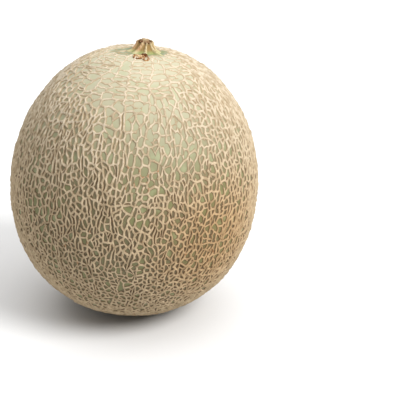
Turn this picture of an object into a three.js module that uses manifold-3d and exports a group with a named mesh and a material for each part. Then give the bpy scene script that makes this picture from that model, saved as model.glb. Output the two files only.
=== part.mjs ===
// A whole cantaloupe melon: the netted fruit, grown as one solid, and the dried stub of its stem.
// Millimetres, +Z up. The melon stands on a small flat spot beside its blossom end, stem upward, and
// leans back and a little to +X.

import * as THREE from "three";
import { mergeVertices } from "three/addons/utils/BufferGeometryUtils.js";
import Module from "manifold-3d";

const { degToRad, lerp, seededRandom, smoothstep } = THREE.MathUtils;

// The fruit's body, a slightly egg-shaped round. Its own frame has the middle of the widest ring as
// origin and the stem on its +Z axis.
const BODY_RADIUS = 74.2;
const BODY_TOP = 85; // from the widest ring up to the stem end, before its dip
const BODY_BOTTOM = 80; // from the widest ring down to the blossom end
const LOWER_FULLNESS = 2.15; // power of the body's lower curve, an ellipse's being 2
const STEM_DIP = 3.2; // how far the stem end is sunk
const DIP_WIDTH = 0.25; // share of the body's radius
const LEAN = degToRad(10);
const LEAN_TOWARDS = degToRad(62); // around from +X
const SPOT_DEPTH = 0.7; // how much of the body the resting spot takes off
const SPOT_FADE = [15, 23]; // the net fades out between these distances from the spot's middle
const STEM_FADE = [0.15, 0.23]; // and between these shares of the body's radius around the stem

// The net: corky cords that grew over cracks in the rind. Each crack splits an area of rind in two,
// so cords meet mostly in T junctions.
const CORD_HEIGHT = 1.1;
const CORD_HALF_WIDTH = 1.35;
const CORD_SHARE = 0.5; // most that the cords take of a small cell, out from its middle
const SHARPEST_OPENING = 0.5; // how far a cord's foot is drawn in at sharp corners, at most twice
const SHORTEST_CORD = 1.6;
const CELL_AT_STEM = { tall: 8, wide: 16 }; // areas of rind between cords, up and down by around
const CELL_ON_FLANK = { tall: 16, wide: 9.6 };
const CELL_AT_BLOSSOM = { tall: 11, wide: 11 };
const STEM_CHANGE = [0.45, 0.85]; // shares of the body's height over which the cells change shape
const BLOSSOM_CHANGE = [0.35, 0.85];
const UNEVENNESS = 0.25; // how far off the middle a crack may run, as a share of the area it splits
const SLANT = degToRad(20);
const SWAY = 1.3; // how far long cords wander sideways
const SWAY_WAVES = [15, 11]; // radians over the body's radius, on two axes
const SWAY_FADE = [0.2, 0.4]; // shares of the body's radius over which the wandering sets in
const OVERGROWN = 1.5; // a cell cracks once it is this many times its grown size
const EVENING_ROUNDS = 2;
const EVENING = 0.5; // share of the way that a corner is drawn in a round
const NET_SEED = 3;

// The two rings that the net grows between, around the stem and around the blossom end, as angles
// from the stem. The first cracks run from one to the other and part the rind into segments.
const STEM_RING = degToRad(9);
const BLOSSOM_RING = degToRad(175);
const RING_CORNERS = 12;
const SEGMENT_CORNERS = 2; // of each ring, so there are 6 segments

// The stem stub, a ribbed post with a flared foot. It bends back a little, and in its dried cut end
// the core stands up out of a groove inside the ribs.
const STEM_HEIGHT = 7.6;
const STEM_FOOT_RADIUS = 9.6;
const STEM_TOP_RADIUS = 4.9;
const STEM_STEPS = 9; // up its side
const FLARE_SHARPNESS = 2.4;
const STEM_BEND = degToRad(7);
const STEM_RIBS = 6;
const RIB_DEPTH = { foot: 0.08, top: 0.2 }; // shares of the radius
const RIB_NARROWNESS = 2; // power that makes ribs narrower than the furrows between them
const GROOVE = { radius: 3, depth: 1.2 };
const CORE = { radius: 2.2, rise: 0.5, peak: 0.8 }; // its height above the ribs, at its edge and middle
const CORNERS_PER_RIB = 8;
const SEAT_GAP = 0.3; // between the stem's foot and the fruit

const RIND = { color: 0xd2c39b, roughness: 0.75, metalness: 0 };
const STEM = { color: 0xb39a5c, roughness: 0.8, metalness: 0 };

// A point of the body in its own frame, lifted off the rind, for a unit direction from the middle.
function bodyPoint(direction, lift) {
  const isAbove = direction.z > 0;
  const out = Math.hypot(direction.x, direction.y);
  const power = isAbove ? 2 : LOWER_FULLNESS;
  const fullness = (out ** power + Math.abs(direction.z) ** power) ** (-1 / power);
  const semiAxes = new THREE.Vector3(BODY_RADIUS, BODY_RADIUS, isAbove ? BODY_TOP : BODY_BOTTOM);
  const outward = direction.clone().divide(semiAxes).normalize();
  const point = direction.clone().multiply(semiAxes).multiplyScalar(fullness);
  point.z -= isAbove ? STEM_DIP * Math.exp(-((out / DIP_WIDTH) ** 2)) : 0;
  return point.addScaledVector(outward, lift);
}

// Downward in the leaning fruit's own frame, and the direction of the body's lowest point, where
// its lower curve is level.
const leanAxis = new THREE.Vector3(-Math.sin(LEAN_TOWARDS), Math.cos(LEAN_TOWARDS), 0);
const down = new THREE.Vector3(0, 0, -1).applyAxisAngle(leanAxis, -LEAN);
const levelPower = 1 / (LOWER_FULLNESS - 1);
const lowestAside = (Math.sin(LEAN) * BODY_RADIUS) ** levelPower;
const lowest = new THREE.Vector3(
  lowestAside * Math.cos(LEAN_TOWARDS),
  lowestAside * Math.sin(LEAN_TOWARDS),
  -((Math.cos(LEAN) * BODY_BOTTOM) ** levelPower),
).normalize();
const restHeight = bodyPoint(lowest, 0).dot(down) - SPOT_DEPTH;

// The stem's seat is flat, at the height of the ring around it.
const seatHeight = bodyPoint(new THREE.Vector3(Math.sin(STEM_RING), 0, Math.cos(STEM_RING)), 0).z;

// The net's corners, as unit directions, and the corner where a crack ends on the edge between two
// others.
const corners = [];
const crackEnds = new Map();

function edgeName(from, to) {
  return `${Math.min(from, to)} ${Math.max(from, to)}`;
}

// The corners along an edge, from one end up to the other, with all crack ends that lie on it.
function alongEdge(from, to) {
  const end = crackEnds.get(edgeName(from, to));
  if (end === undefined) {
    return [from];
  }
  return [...alongEdge(from, end), ...alongEdge(end, to)];
}

function wholeLoop(cell) {
  return cell.flatMap((corner, i) => alongEdge(corner, cell[(i + 1) % cell.length]));
}

// Compass directions on the rind at a unit direction.
function compass(direction) {
  const east = new THREE.Vector3(-direction.y, direction.x, 0).normalize();
  const north = new THREE.Vector3().crossVectors(direction, east);
  return { east, north };
}

function middleOf(cell) {
  const middle = new THREE.Vector3();
  for (const corner of cell) {
    middle.add(corners[corner]);
  }
  return middle.normalize();
}

// How large the areas between the cords grow at a place on the rind.
function grownSize(direction) {
  const nearStem = smoothstep(direction.z, ...STEM_CHANGE);
  const nearBlossom = smoothstep(-direction.z, ...BLOSSOM_CHANGE);
  const size = {};
  for (const side of ["tall", "wide"]) {
    const above = lerp(CELL_ON_FLANK[side], CELL_AT_STEM[side], nearStem);
    size[side] = lerp(above, CELL_AT_BLOSSOM[side], nearBlossom);
  }
  return size;
}

function spread(values) {
  return Math.max(...values) - Math.min(...values);
}

function randomBetween(low, high) {
  return lerp(low, high, seededRandom());
}

// Where a crack crosses the edge between two corners, given their distances from its plane. It
// ends in an old corner where that is nearer than the shortest cord.
function crackEnd(from, to, fromDistance, toDistance) {
  const share = fromDistance / (fromDistance - toDistance);
  const end = corners[from].clone().lerp(corners[to], share).normalize();
  if (end.distanceTo(corners[from]) * BODY_RADIUS < SHORTEST_CORD) {
    return from;
  }
  if (end.distanceTo(corners[to]) * BODY_RADIUS < SHORTEST_CORD) {
    return to;
  }
  corners.push(end);
  crackEnds.set(edgeName(from, to), corners.length - 1);
  return corners.length - 1;
}

// Splits a cell in two by the plane through the body's middle with the given normal. Returns no
// halves where the crack would cut off less than a triangle.
function halvesOf(cell, normal) {
  const distances = cell.map((corner) => corners[corner].dot(normal));
  const crossed = cell.map((corner, i) => i)
    .filter((i) => distances[i] * distances[(i + 1) % cell.length] < 0);
  if (crossed.length !== 2) {
    return [];
  }
  const ends = crossed.map((i) => {
    const next = (i + 1) % cell.length;
    return crackEnd(cell[i], cell[next], distances[i], distances[next]);
  });
  const loop = wholeLoop(cell);
  const [first, second] = ends.map((end) => loop.indexOf(end)).sort((a, b) => a - b);
  const near = loop.slice(first, second + 1);
  const far = [...loop.slice(second), ...loop.slice(0, first + 1)];
  return near.length > 2 && far.length > 2 ? [near, far] : [];
}

// Cracks a cell across its overgrown side. Returns no halves once it isn't overgrown.
function crack(cell) {
  const middle = middleOf(cell);
  const { east, north } = compass(middle);
  const size = grownSize(middle);
  const points = cell.map((corner) => bodyPoint(corners[corner], 0));
  const tall = spread(points.map((point) => point.dot(north)));
  const wide = spread(points.map((point) => point.dot(east)));
  if (Math.max(tall / size.tall, wide / size.wide) < OVERGROWN) {
    return [];
  }
  const isTall = tall / size.tall > wide / size.wide;
  const length = isTall ? tall : wide;
  const offset = randomBetween(-UNEVENNESS, UNEVENNESS) * length * 0.5;
  const across = isTall ? north : east;
  const through = middle.clone().addScaledVector(across, offset / BODY_RADIUS).normalize();
  const normal = across.clone().applyAxisAngle(middle, randomBetween(-SLANT, SLANT));
  normal.addScaledVector(through, -normal.dot(through));
  return halvesOf(cell, normal);
}

// The ring of corners at an angle from the stem.
function ringOfCorners(angle) {
  return Array.from({ length: RING_CORNERS }, (_, i) => {
    const around = (2 * Math.PI * i) / RING_CORNERS;
    const out = Math.sin(angle);
    corners.push(new THREE.Vector3(out * Math.cos(around), out * Math.sin(around), Math.cos(angle)));
    return corners.length - 1;
  });
}

// Grows the net: the rind between the rings, parted into segments that crack until nothing is
// overgrown. Each cell is a loop of corners, counterclockwise from outside.
function grownCells(stemRing, blossomRing) {
  const growing = [];
  for (let start = 0; start < RING_CORNERS; start += SEGMENT_CORNERS) {
    const ends = Array.from({ length: SEGMENT_CORNERS + 1 }, (_, i) => (start + i) % RING_CORNERS);
    const above = ends.map((i) => stemRing[i]);
    const below = ends.map((i) => blossomRing[i]);
    growing.push([...below, ...above.reverse()]);
  }
  const grown = [];
  seededRandom(NET_SEED);
  while (growing.length > 0) {
    const cell = wholeLoop(growing.pop());
    const halves = crack(cell);
    growing.push(...halves);
    if (halves.length === 0) {
      grown.push(cell);
    }
  }
  return grown.map(wholeLoop);
}

// Evens the net out, as growth does: each corner that isn't held is drawn towards the middle of the
// corners that its cords run to.
function evenOut(cells, held) {
  for (let round = 0; round < EVENING_ROUNDS; round += 1) {
    const drawn = corners.map(() => new THREE.Vector3());
    for (const cell of cells) {
      cell.forEach((corner, i) => drawn[corner].add(corners[cell[(i + 1) % cell.length]]));
    }
    corners.forEach((corner, i) => {
      if (!held.has(i)) {
        corner.lerp(drawn[i].normalize(), EVENING).normalize();
      }
    });
  }
}

// Moves a direction sideways along smooth waves, except at the two ends of the fruit.
function swayed({ x, y, z }) {
  const amount = (SWAY / BODY_RADIUS) * smoothstep(Math.hypot(x, y), ...SWAY_FADE);
  const wave = (first, second) => Math.sin(SWAY_WAVES[0] * first + SWAY_WAVES[1] * second);
  const waves = new THREE.Vector3(wave(y, z), wave(z, x), wave(x, y));
  return new THREE.Vector3(x, y, z).addScaledVector(waves, amount).normalize();
}

// How high a cord stands on the rind. It fades out around the stem and around the resting spot.
function cordHeight(direction) {
  if (direction.z > 0) {
    return CORD_HEIGHT * smoothstep(Math.hypot(direction.x, direction.y), ...STEM_FADE);
  }
  return CORD_HEIGHT * smoothstep(bodyPoint(direction, 0).distanceTo(bodyPoint(lowest, 0)), ...SPOT_FADE);
}

// How far the cords around a cell reach into it, as an angle on the body: half a cord's width, or
// less in a small cell. Inwards holds the direction into the cell from each of its sides.
function cordReach(loop, middle, inwards) {
  const room = Math.min(...loop.map((corner, i) => middle.clone().sub(corner).dot(inwards[i])));
  return Math.min(CORD_HALF_WIDTH / BODY_RADIUS, CORD_SHARE * room);
}

// The foot of the cords around a cell, its corners drawn in from both sides. Where the cords are too
// close for their whole width, their slopes meet the cell's floor above the rind.
function footOf(loop, middle) {
  const inwards = loop.map((corner, i) => {
    const side = loop[(i + 1) % loop.length].clone().sub(corner);
    return new THREE.Vector3().crossVectors(middle, side).normalize();
  });
  const reach = cordReach(loop, middle, inwards);
  const filled = 1 - (reach * BODY_RADIUS) / CORD_HALF_WIDTH;
  const foot = loop.map((corner, i) => {
    const before = inwards.at(i - 1);
    const opening = Math.max(1 + before.dot(inwards[i]), SHARPEST_OPENING);
    const drawnIn = before.clone().add(inwards[i]).multiplyScalar(reach / opening);
    return corner.clone().add(drawnIn).normalize();
  });
  return [...foot, middle].map((direction) => bodyPoint(direction, filled * cordHeight(direction)));
}

// The fruit's surface. The cords' crests run along the edges of the cells and slope down to a foot
// on the rind, and each cell's floor is a fan around its middle. The two caps, under the stem and
// at the blossom end, are fans without a net.
function fruitSurface(cells, caps) {
  const points = corners.map((corner) => bodyPoint(corner, cordHeight(corner)));
  const triangles = [];
  for (const cell of cells) {
    const firstFoot = points.length;
    points.push(...footOf(cell.map((corner) => corners[corner]), middleOf(cell)));
    const floor = points.length - 1;
    cell.forEach((crest, i) => {
      const next = (i + 1) % cell.length;
      const [foot, nextFoot] = [firstFoot + i, firstFoot + next];
      triangles.push([crest, cell[next], nextFoot], [crest, nextFoot, foot], [foot, nextFoot, floor]);
    });
  }
  for (const { rim, hub } of caps) {
    const centre = points.push(hub) - 1;
    rim.forEach((corner, i) => triangles.push([corner, rim[(i + 1) % rim.length], centre]));
  }
  return { points, triangles };
}

// The fruit as one closed solid in its own frame, cut level across the resting spot.
async function fruitGeometry() {
  const stemRing = ringOfCorners(STEM_RING);
  const blossomRing = ringOfCorners(BLOSSOM_RING);
  const cells = grownCells(stemRing, blossomRing);
  const seat = { rim: wholeLoop(stemRing), hub: new THREE.Vector3(0, 0, seatHeight) };
  const scar = { rim: wholeLoop(blossomRing.reverse()), hub: bodyPoint(new THREE.Vector3(0, 0, -1), 0) };
  evenOut(cells, new Set([...seat.rim, ...scar.rim]));
  corners.forEach((corner) => corner.copy(swayed(corner)));
  const { points, triangles } = fruitSurface(cells, [seat, scar]);

  const wasm = await Module();
  wasm.setup();
  const surface = new wasm.Mesh({
    numProp: 3,
    vertProperties: new Float32Array(points.flatMap((point) => point.toArray())),
    triVerts: new Uint32Array(triangles.flat()),
  });
  const up = down.clone().negate();
  const standing = new wasm.Manifold(surface).trimByPlane(up.toArray(), -restHeight).getMesh();
  const geometry = new THREE.BufferGeometry();
  geometry.setAttribute("position", new THREE.BufferAttribute(standing.vertProperties, 3));
  geometry.setIndex(new THREE.BufferAttribute(standing.triVerts, 1));
  return geometry;
}

// The stem stub, foot at z = 0: a lathed post whose radius swells into ribs all around, bent towards
// +Y with its cut end square to it.
function stemGeometry() {
  const outline = [new THREE.Vector2(0, 0)];
  for (let step = 0; step <= STEM_STEPS; step += 1) {
    const height = step / STEM_STEPS;
    const flare = (1 - height) ** FLARE_SHARPNESS;
    outline.push(new THREE.Vector2(lerp(STEM_TOP_RADIUS, STEM_FOOT_RADIUS, flare), height * STEM_HEIGHT));
  }
  outline.push(new THREE.Vector2(GROOVE.radius, STEM_HEIGHT - GROOVE.depth));
  outline.push(new THREE.Vector2(CORE.radius, STEM_HEIGHT + CORE.rise));
  outline.push(new THREE.Vector2(0, STEM_HEIGHT + CORE.peak));
  const lathed = new THREE.LatheGeometry(outline, STEM_RIBS * CORNERS_PER_RIB).rotateX(Math.PI / 2);
  lathed.deleteAttribute("normal");
  lathed.deleteAttribute("uv");
  const geometry = mergeVertices(lathed);
  const position = geometry.attributes.position;
  for (let i = 0; i < position.count; i += 1) {
    const place = new THREE.Vector3().fromBufferAttribute(position, i);
    const around = Math.atan2(place.y, place.x);
    const height = Math.min(place.z / STEM_HEIGHT, 1);
    const rib = Math.abs(Math.cos((STEM_RIBS * around) / 2)) ** RIB_NARROWNESS;
    const swell = 1 + lerp(RIB_DEPTH.foot, RIB_DEPTH.top, height) * (2 * rib - 1);
    place.multiply(new THREE.Vector3(swell, swell, 1));
    const bent = height * Math.tan(STEM_BEND);
    position.setXYZ(i, place.x, place.y + place.z * bent, place.z - place.y * bent);
  }
  return geometry;
}

const fruit = new THREE.Mesh(await fruitGeometry(), new THREE.MeshStandardMaterial(RIND));
fruit.name = "melon_fruit";

const stem = new THREE.Mesh(stemGeometry(), new THREE.MeshStandardMaterial(STEM));
stem.name = "stem_stub";
stem.position.z = seatHeight + SEAT_GAP;

const leaning = new THREE.Group();
leaning.add(fruit, stem);
leaning.quaternion.setFromAxisAngle(leanAxis, LEAN);
leaning.position.z = restHeight;

// The whole melon is centred over the origin.
const melon = new THREE.Group();
melon.add(leaning);
const middle = new THREE.Box3().setFromObject(melon, true).getCenter(new THREE.Vector3());
melon.position.set(-middle.x, -middle.y, 0);

export default melon;
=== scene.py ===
import math
import random

import bmesh
import bpy
from mathutils import Matrix, Vector, geometry, noise


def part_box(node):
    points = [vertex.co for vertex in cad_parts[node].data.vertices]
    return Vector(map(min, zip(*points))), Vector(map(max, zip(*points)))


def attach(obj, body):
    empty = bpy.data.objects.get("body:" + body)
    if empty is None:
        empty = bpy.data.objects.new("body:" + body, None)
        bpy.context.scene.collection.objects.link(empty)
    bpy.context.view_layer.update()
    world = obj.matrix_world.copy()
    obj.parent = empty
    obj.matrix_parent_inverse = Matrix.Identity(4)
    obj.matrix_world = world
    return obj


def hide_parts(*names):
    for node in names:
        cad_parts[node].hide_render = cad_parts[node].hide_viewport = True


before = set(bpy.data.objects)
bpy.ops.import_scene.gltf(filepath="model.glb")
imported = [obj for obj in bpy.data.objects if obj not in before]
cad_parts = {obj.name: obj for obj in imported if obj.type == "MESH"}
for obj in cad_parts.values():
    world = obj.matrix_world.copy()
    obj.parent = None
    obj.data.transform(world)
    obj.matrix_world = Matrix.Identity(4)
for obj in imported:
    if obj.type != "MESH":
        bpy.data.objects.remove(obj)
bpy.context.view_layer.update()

# ------------------------------------------------------------------------------------------------
# The fruit: a ripe cantaloupe, nearly round, that stands beside its blossom end and leans back. Its
# skin is smooth, waxy and grey-green. Where the growing fruit cracked it, cream cork healed over it
# and stands proud as a net, upright on the flanks and in level rings before the stem.
# ------------------------------------------------------------------------------------------------

MM = 0.001
fruit_low, fruit_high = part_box("melon_fruit")

CORD_CREST = 1.1 * MM  # how far the widest ring of the solid's net stands off the skin
BODY_RADIUS = (fruit_high.x - fruit_low.x) / 2 - CORD_CREST
BODY_TOP = 85 * MM  # from the widest ring up to the stem end, before its dip
BODY_BOTTOM = 80 * MM
LOWER_FULLNESS = 2.15  # power of the body's lower curve, an ellipse's being 2
STEM_DIP = 3.2 * MM
DIP_WIDTH = 0.25  # share of the body's radius
LEAN = math.radians(10)
LEAN_TOWARDS = math.radians(62)  # around from +X
SPOT_DEPTH = 0.7 * MM  # what the resting spot flattens off the body


def body_point(direction, lift=0.0):
    """A point on the skin, or lifted off it, for a unit direction from the middle of the body."""
    out = math.hypot(direction.x, direction.y)
    above = direction.z > 0
    power = 2 if above else LOWER_FULLNESS
    fullness = (out ** power + abs(direction.z) ** power) ** (-1 / power)
    axes = Vector((BODY_RADIUS, BODY_RADIUS, BODY_TOP if above else BODY_BOTTOM))
    point = Vector([d * a * fullness for d, a in zip(direction, axes)])
    if above:
        point.z -= STEM_DIP * math.exp(-((out / DIP_WIDTH) ** 2))
    outward = Vector([d / a for d, a in zip(direction, axes)]).normalized()
    return point + outward * lift


# The leaning body is lowest where its lower curve is level.
sideways = Vector((math.cos(LEAN_TOWARDS), math.sin(LEAN_TOWARDS), 0))
leaning = Matrix.Rotation(LEAN, 4, Vector((0, 0, 1)).cross(sideways))
level_power = 1 / (LOWER_FULLNESS - 1)
lowest = sideways * (math.sin(LEAN) * BODY_RADIUS) ** level_power
lowest.z = -((math.cos(LEAN) * BODY_BOTTOM) ** level_power)
lowest.normalize()
rest_height = SPOT_DEPTH + (leaning @ body_point(lowest)).z
standing = Matrix.Translation((0, 0, -rest_height)) @ leaning

# How large the cells between the cords grow, in millimetres up the fruit by around it
CELL_ON_FLANK = Vector((4.9, 2.9))
CELL_ON_SIDES = Vector((4.9, 3.3))
CELL_IN_RINGS = Vector((3.1, 8.4))
CELL_AT_BLOSSOM = Vector((3.4, 2.8))
CELL_IN_OPEN_NET = Vector((6.3, 3.4))
RINGS = Vector((-0.12, -0.3, 0.94)).normalized()  # where the cords run in rings around the stem
RINGS_SPAN = (0.82, 0.97)  # cosines of the angles from there at which they end and are complete
OPEN_NET = Vector((0.1, -0.84, 0.53)).normalized()  # where the net stayed open and thin
OPEN_NET_SPAN = (0.89, 0.975)
BLOSSOM_END = (0.0, 0.6)  # how far down the fruit its net starts and is complete, on a unit ball
SIDES = (0.6, 0.95)  # and how far to either side the net of the sides does


def fade(value, low, high):
    """0 below low, 1 above high, and a soft rise between."""
    share = min(max((value - low) / (high - low), 0.0), 1.0)
    return share * share * (3 - 2 * share)


def zones(direction):
    """How much a place belongs to the rings, the blossom end and the open net."""
    in_rings = fade(direction.dot(RINGS), *RINGS_SPAN)
    at_blossom = fade(-direction.z, *BLOSSOM_END)
    in_open_net = fade(direction.dot(OPEN_NET), *OPEN_NET_SPAN)
    return in_rings, at_blossom, in_open_net


def cell_size(direction):
    """How large a cell grows at a place, up the fruit and around it."""
    in_rings, at_blossom, in_open_net = zones(direction)
    size = CELL_ON_FLANK.lerp(CELL_ON_SIDES, fade(abs(direction.x), *SIDES))
    size = size.lerp(CELL_AT_BLOSSOM, at_blossom).lerp(CELL_IN_OPEN_NET, in_open_net)
    return size.lerp(CELL_IN_RINGS, in_rings) * MM


# The skin of a unit ball starts as a few wide segments from the stem to the blossom end, which then
# crack until no cell is overgrown. A crack's age is how many times too large its cell was.
SEGMENTS = 7
STEM_RIM = math.radians(8.7)  # as an angle from the stem end
BLOSSOM_RIM = math.radians(175.5)
OVERGROWN = (1.2, 1.6)  # how many times too large a cell is when it cracks
UNEVENNESS = 0.28  # how far off a cell's middle it may crack, as a share of the way to its end
SLANT = math.radians(14)  # how far a crack may turn
SQUATNESS = 0.2  # how much sooner a tall cell cracks, and how much later a wide one
EARLY = (2.0, 12.0)  # ages from which and to which cracks turn to the zone's own direction
UPRIGHT_BIAS = 0.7  # how strongly they turn upright
RING_BIAS = 0.7  # and level, in the rings
SHORTEST_CORD = 0.6 * MM
OLDEST = 50.0  # the age of the sides of the first segments
TRIES = 8  # how often a cell is cracked anew where a crack would fail
GROWTH = 41  # another number grows another net
chance = random.Random(GROWTH)
noise.seed_set(GROWTH)

net = bmesh.new()
layer_names = ("strength", "cork", "lift", "open", "bare")
strength, cork, lift, is_open, is_bare = (net.verts.layers.float.new(name) for name in layer_names)
age = net.edges.layers.float.new("age")
rim_heights = math.cos(BLOSSOM_RIM), math.cos(STEM_RIM)
bmesh.ops.create_cone(net, cap_ends=True, segments=SEGMENTS, radius1=math.sin(BLOSSOM_RIM),
                      radius2=math.sin(STEM_RIM), depth=rim_heights[1] - rim_heights[0],
                      matrix=Matrix.Translation((0, 0, sum(rim_heights) / 2)))
caps = sorted((face for face in net.faces if len(face.verts) == SEGMENTS),
              key=lambda face: -face.calc_center_median().z)


def compass(direction):
    """North, towards the stem, and east at a place on the ball."""
    east = Vector((-direction.y, direction.x, 0)).normalized()
    return direction.cross(east), east


def middle_of(verts):
    """The middle of a cell's outline on the ball, however its corners crowd along it."""
    corners = [vert.co for vert in verts]
    middle = Vector()
    for start, end in zip(corners, corners[1:] + corners[:1]):
        middle += (start + end) * (end - start).length
    return middle.normalized()


def crack_end(loop, distance, next_distance):
    """The corner where a crack meets a side: a new one, or an old one if that is very near."""
    side = loop.edge
    share = distance / (distance - next_distance)
    length = side.calc_length() * BODY_RADIUS
    if share * length < SHORTEST_CORD:
        return loop.vert
    if (1 - share) * length < SHORTEST_CORD:
        return loop.link_loop_next.vert
    corner = bmesh.utils.edge_split(side, loop.vert, share)[1]
    corner.co.normalize()
    return corner


def overgrowth(cell):
    """How many times too large a cell is, and where and across which direction it would crack."""
    middle = middle_of(cell.verts)
    north, east = compass(middle)
    # The outline is taken in sizes of a full-grown cell, up the fruit and around it.
    size = cell_size(middle)
    corners = [body_point(vert.co.normalized()) for vert in cell.verts]
    corners = [Vector((corner.dot(north) / size.x, corner.dot(east) / size.y))
               for corner in corners]
    sides = list(zip(corners, corners[1:] + corners[:1]))
    outline = sum((end - start).length for start, end in sides)
    centre = sum(((start + end) * (end - start).length for start, end in sides), Vector((0, 0)))
    centre /= 2 * outline
    area = sum((start - centre).cross(end - centre) for start, end in sides) / 2
    # It cracks across its longest way, which early on counts for more up the fruit or around it.
    early = fade(abs(area), *EARLY)
    bias = math.exp(early * (UPRIGHT_BIAS - (UPRIGHT_BIAS + RING_BIAS) * zones(middle)[0]))
    lean = stretch = 0.0
    for start, end in sides:
        off = (start + end) / 2 - centre
        off.y *= bias
        lean += off.x * off.y * (end - start).length
        stretch += (off.x ** 2 - off.y ** 2) * (end - start).length
    longest = math.atan2(2 * lean, stretch) / 2
    along = Vector((math.cos(longest), math.sin(longest) * bias)).normalized()
    if chance.random() < zones(middle)[0]:
        along = Vector((1, 0)) if abs(along.x) > abs(along.y) else Vector((0, 1))
    # How far the crack would leave narrower halves, rather than squatter ones
    narrowing = along.y ** 2 + (along.x ** 2 - along.y ** 2) * zones(middle)[0]
    spans = [(corner - centre).dot(along) for corner in corners]
    across = Vector((along.x / size.x, along.y / size.y))
    reach = (max(spans) - min(spans)) / 2 / across.length
    across = (north * across.x + east * across.y).normalized()
    return abs(area) * (1 + SQUATNESS * (1 - 2 * narrowing)), middle, across, reach


def crack(cell, middle, across, reach, excess):
    """Cracks a cell across. Returns its two halves, or nothing where the crack would fail."""
    offset = chance.uniform(-UNEVENNESS, UNEVENNESS) * reach / BODY_RADIUS
    through = (middle + across * offset).normalized()
    normal = Matrix.Rotation(chance.uniform(-SLANT, SLANT), 3, middle) @ across
    normal -= through * normal.dot(through)
    distance = {loop: loop.vert.co.dot(normal) for loop in cell.loops}
    crossed = [loop for loop in cell.loops if distance[loop] * distance[loop.link_loop_next] < 0]
    if len(crossed) != 2:
        return []
    heights = [(distance[loop], distance[loop.link_loop_next]) for loop in crossed]
    ends = [crack_end(loop, *pair) for loop, pair in zip(crossed, heights)]
    if ends[0] == ends[1] or net.edges.get(ends):
        return []
    half = bmesh.utils.face_split(cell, *ends)
    if not half or not half[0]:
        return []
    net.edges.get(ends)[age] = excess
    return [cell, half[0]]


for edge in net.edges:
    edge[age] = OLDEST
growing = [face for face in net.faces if face not in caps]
while growing:
    cell = growing.pop()
    excess, *place = overgrowth(cell)
    for _ in range(TRIES if excess > chance.uniform(*OVERGROWN) else 0):
        halves = crack(cell, *place, excess)
        if halves:
            growing.extend(halves)
            break

# Slivers between two close cracks are dropped.
SMALLEST_CELL = 3.5 * MM * MM
for _ in range(2):
    slivers = [face for face in net.faces if face.calc_area() * BODY_RADIUS ** 2 < SMALLEST_CELL]
    longest_sides = [max(face.edges, key=lambda edge: edge.calc_length()) for face in slivers]
    bmesh.ops.dissolve_edges(net, edges=list(dict.fromkeys(longest_sides)), use_verts=True)

# Growth drew the net's corners even, all but those of the rims around the stem and the blossom end.
# Cords bend, and here and there one is broken.
EVENING = 0.4  # how far a corner moves towards the middle of its neighbours, as a share
BEND_SPACING = 1.35 * MM  # along a cord
BROKEN_SHARE = 0.27  # of the bends of late cords
BROKEN_SHARE_IN_OPEN_NET = 0.42
LATE = (2.0, 6.0)  # ages up to which cords are at their weakest, and from which they are sound
WEAKNESS = 0.5  # how much of its strength a late cord may lack
WEAKNESS_IN_OPEN_NET = 0.85


def rim_corners():
    """The corners of the two rims, each with its rim's angle from the stem end."""
    angles = (STEM_RIM, BLOSSOM_RIM)
    return {vert: angle for cap, angle in zip(caps, angles) for vert in cap.verts}


def even_out():
    """Draws the net's corners even, and returns those that aren't on the rims."""
    rims = rim_corners()
    verts = [vert for vert in net.verts if vert not in rims]
    bmesh.ops.smooth_vert(net, verts=verts, factor=EVENING, use_axis_x=True, use_axis_y=True,
                          use_axis_z=True)
    for vert in verts:
        vert.co.normalize()
    for vert, angle in rims.items():
        out = Vector((vert.co.x, vert.co.y)).normalized() * math.sin(angle)
        vert.co = (out.x, out.y, math.cos(angle))
    return verts


even_out()
cords = {}
for edge in net.edges:
    bends = round(edge.calc_length() * BODY_RADIUS / BEND_SPACING) - 1
    cords.setdefault(bends, []).append(edge)
for bends, edges in cords.items():
    if bends > 0:
        bmesh.ops.bisect_edges(net, edges=edges, cuts=bends)
wandering = even_out()
for vert in net.verts:
    late = 1 - fade(max(edge[age] for edge in vert.link_edges), *LATE)
    in_open_net = zones(vert.co)[2]
    share = BROKEN_SHARE + (BROKEN_SHARE_IN_OPEN_NET - BROKEN_SHARE) * in_open_net
    weakness = WEAKNESS + (WEAKNESS_IN_OPEN_NET - WEAKNESS) * in_open_net
    is_bend = len(vert.link_edges) == 2 and not any(face in caps for face in vert.link_faces)
    is_broken = is_bend and chance.random() < share * late
    vert[strength] = 0.0 if is_broken else 1 - weakness * late * chance.random()

# Cords wander sideways, in long and in short waves: how far, and how long each wave is.
WANDER = ((2.2 * MM, 28 * MM), (1.0 * MM, 8 * MM), (0.8 * MM, 3.0 * MM), (0.28 * MM, 1.3 * MM))
CALM = 0.65  # the same in the rings and in the open net, as a share
CALM_RIM = 9 * MM  # and cords wander less, the nearer they are to the rims, which stay in place
for vert in wandering:
    place = vert.co * BODY_RADIUS
    in_rings, _, in_open_net = zones(vert.co)
    rim = math.sin(STEM_RIM if vert.co.z > 0 else BLOSSOM_RIM)
    off_rim = (math.hypot(vert.co.x, vert.co.y) - rim) * BODY_RADIUS
    restlessness = (1 + (CALM - 1) * max(in_rings, in_open_net)) * fade(off_rim, 0, CALM_RIM)
    for amount, length in WANDER:
        vert.co += noise.noise_vector(place / length) * restlessness * amount / BODY_RADIUS
    vert.co.normalize()

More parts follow.
